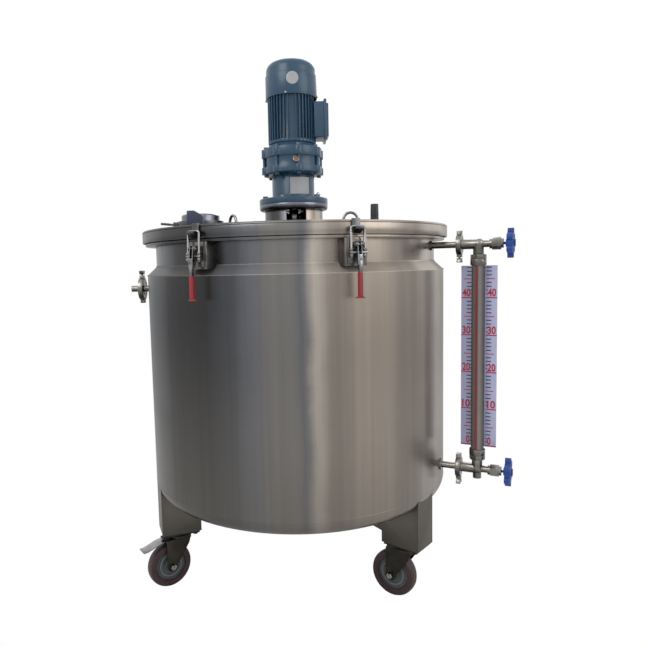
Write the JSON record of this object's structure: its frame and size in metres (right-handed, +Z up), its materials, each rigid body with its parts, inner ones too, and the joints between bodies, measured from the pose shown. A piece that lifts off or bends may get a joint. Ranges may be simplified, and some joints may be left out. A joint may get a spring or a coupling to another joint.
{
  "type": "mixing tank",
  "caption": "Jacketed stainless mixing tank on swivel casters, with a clamped lid, a geared agitator motor on top and a level gauge with a scale at the side.",
  "frame": {"origin": "on the floor, in the middle of the footprint of the whole tank", "axes": "+Z up, +X towards the level gauge's side, -Y towards the side with two latches that the picture shows"},
  "size_m": [1.0633, 0.8962, 1.491],
  "materials": {
    "polished_steel": "brushed",
    "jacket_steel": "brushed",
    "bright_steel": "polished",
    "fitting_steel": "cast and polished",
    "drive_paint": "gloss enamel",
    "caster_steel": "dark zinc",
    "wheel_rubber": "satin",
    "red_grip": "satin",
    "blue_handwheel": "gloss",
    "black_plastic": "satin",
    "gauge_glass": "gloss",
    "scale_plate": "satin",
    "gasket": "satin"
  },
  "bodies": {
    "tank": {"vessel_wall": "polished_steel", "vessel_bottom": "polished_steel", "vessel_rim": "polished_steel", "jacket_wall": "jacket_steel", "jacket_shoulder": "bright_steel", "jacket_bottom": "jacket_steel", "bottom_outlet": "polished_steel", "legs": "jacket_steel", "caster_plates": "caster_steel", "lid": "polished_steel", "lid_gasket": "gasket", "lid_rings": "bright_steel", "feed_port": "polished_steel", "feed_cap": "bright_steel", "feed_clamp": "bright_steel", "lid_switch": "black_plastic", "breather": "black_plastic", "latch_brackets": "bright_steel", "latch_keepers": "bright_steel", "motor_lantern": "polished_steel", "lantern_flange": "bright_steel", "gearbox_stem": "drive_paint", "gearbox_case": "drive_paint", "motor_stator": "drive_paint", "terminal_box": "drive_paint", "fan_cowl": "drive_paint", "gauge_pipes": "fitting_steel", "pipe_clamps": "fitting_steel", "gauge_valves": "fitting_steel", "gauge_nuts": "fitting_steel", "gauge_tube": "gauge_glass", "scale_plate": "scale_plate", "jacket_port": "fitting_steel"},
    "agitator": {"agitator_shaft": "polished_steel", "impeller": "polished_steel"},
    "caster_1": {"fork_1": "caster_steel", "brake_pedal": "bright_steel"},
    "roller_1": {"wheel_1": "wheel_rubber"},
    "caster_2": {"fork_2": "caster_steel"},
    "roller_2": {"wheel_2": "wheel_rubber"},
    "caster_3": {"fork_3": "caster_steel"},
    "roller_3": {"wheel_3": "wheel_rubber"},
    "lever_1": {"latch_lever_1": "red_grip"},
    "bail_1": {"latch_bail_1": "bright_steel"},
    "lever_2": {"latch_lever_2": "red_grip"},
    "bail_2": {"latch_bail_2": "bright_steel"},
    "lever_3": {"latch_lever_3": "red_grip"},
    "bail_3": {"latch_bail_3": "bright_steel"},
    "lever_4": {"latch_lever_4": "red_grip"},
    "bail_4": {"latch_bail_4": "bright_steel"},
    "upper_handwheel": {"handwheel_upper": "blue_handwheel"},
    "lower_handwheel": {"handwheel_lower": "blue_handwheel"}
  },
  "joints": [
    {"name": "swivel_1", "type": "hinge", "parent": "tank", "child": "caster_1", "pos_m": [-0.39281, -0.12757, 0.14], "axis": [0, 0, 1], "continuous": true},
    {"name": "roll_1", "type": "hinge", "parent": "caster_1", "child": "roller_1", "pos_m": [-0.42371, -0.14969, 0.0625], "axis": [0.5821, -0.8131, 0], "continuous": true},
    {"name": "swivel_2", "type": "hinge", "parent": "tank", "child": "caster_2", "pos_m": [0.24343, -0.23976, 0.14], "axis": [0, 0, 1], "continuous": true},
    {"name": "roll_2", "type": "hinge", "parent": "caster_2", "child": "roller_2", "pos_m": [0.21304, -0.21694, 0.0625], "axis": [-0.6004, -0.7997, 0], "continuous": true},
    {"name": "swivel_3", "type": "hinge", "parent": "tank", "child": "caster_3", "pos_m": [0.02246, 0.36733, 0.14], "axis": [0, 0, 1], "continuous": true},
    {"name": "roll_3", "type": "hinge", "parent": "caster_3", "child": "roller_3", "pos_m": [0.05817, 0.38033, 0.0625], "axis": [-0.342, 0.9397, 0], "continuous": true},
    {"name": "agitator_spin", "type": "hinge", "parent": "tank", "child": "agitator", "pos_m": [-0.04231, 0, 0.8], "axis": [0, 0, 1], "continuous": true},
    {"name": "lever_1", "type": "hinge", "parent": "tank", "child": "lever_1", "pos_m": [-0.28057, -0.3888, 0.953], "axis": [-0.8526, 0.5225, 0], "range_deg": [0, 110]},
    {"name": "bail_1", "type": "hinge", "parent": "lever_1", "child": "bail_1", "pos_m": [-0.27952, -0.3871, 0.935], "axis": [-0.8526, 0.5225, 0], "range_deg": [-95, 0]},
    {"name": "lever_2", "type": "hinge", "parent": "tank", "child": "lever_2", "pos_m": [0.10163, -0.43269, 0.953], "axis": [-0.9489, -0.3156, 0], "range_deg": [0, 110]},
    {"name": "bail_2", "type": "hinge", "parent": "lever_2", "child": "bail_2", "pos_m": [0.101, -0.43079, 0.935], "axis": [-0.9489, -0.3156, 0], "range_deg": [-95, 0]},
    {"name": "lever_3", "type": "hinge", "parent": "tank", "child": "lever_3", "pos_m": [0.10163, 0.43269, 0.953], "axis": [0.9489, -0.3156, 0], "range_deg": [0, 110]},
    {"name": "bail_3", "type": "hinge", "parent": "lever_3", "child": "bail_3", "pos_m": [0.101, 0.43079, 0.935], "axis": [0.9489, -0.3156, 0], "range_deg": [-95, 0]},
    {"name": "lever_4", "type": "hinge", "parent": "tank", "child": "lever_4", "pos_m": [-0.28057, 0.3888, 0.953], "axis": [0.8526, 0.5225, 0], "range_deg": [0, 110]},
    {"name": "bail_4", "type": "hinge", "parent": "lever_4", "child": "bail_4", "pos_m": [-0.27952, 0.3871, 0.935], "axis": [0.8526, 0.5225, 0], "range_deg": [-95, 0]},
    {"name": "upper_valve", "type": "hinge", "parent": "tank", "child": "upper_handwheel", "pos_m": [0.50782, -0.25653, 0.9535], "axis": [0.9063, -0.4226, 0], "continuous": true},
    {"name": "lower_valve", "type": "hinge", "parent": "tank", "child": "lower_handwheel", "pos_m": [0.50782, -0.25653, 0.3525], "axis": [0.9063, -0.4226, 0], "continuous": true}
  ],
  "couplings": [
    {"joint": "bail_1", "follows": "lever_1", "ratio": -0.84},
    {"joint": "bail_2", "follows": "lever_2", "ratio": -0.84},
    {"joint": "bail_3", "follows": "lever_3", "ratio": -0.84},
    {"joint": "bail_4", "follows": "lever_4", "ratio": -0.84}
  ]
}
